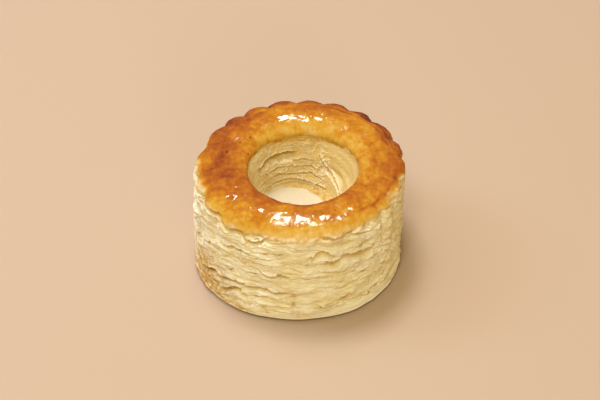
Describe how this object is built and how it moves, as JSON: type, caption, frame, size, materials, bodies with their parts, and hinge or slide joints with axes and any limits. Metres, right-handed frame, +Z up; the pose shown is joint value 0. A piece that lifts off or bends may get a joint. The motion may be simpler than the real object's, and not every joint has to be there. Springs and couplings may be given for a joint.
{
  "type": "vol-au-vent",
  "caption": "Round baked puff-pastry case with a glazed fluted rim, a deep open well for a filling and flaky layered sides, standing on a flat base.",
  "frame": {"origin": "middle of the case's outline, at the height of its flat base", "axes": "+Z up through the open well, -Y towards the front of the case, +X to its right"},
  "size_m": [0.081, 0.08, 0.0457],
  "materials": {
    "baked_pastry": "baked puff pastry: glossy golden-brown egg glaze on the rim, pale matt flaky layers on the sides and in the well",
    "egg_glaze": "glossy golden-brown to red-brown egg glaze on the rim",
    "pale_layers": "pale matt cream flaky layers with golden gaps"
  },
  "bodies": {
    "root": {"pastry_case": "baked_pastry"}
  },
  "joints": []
}
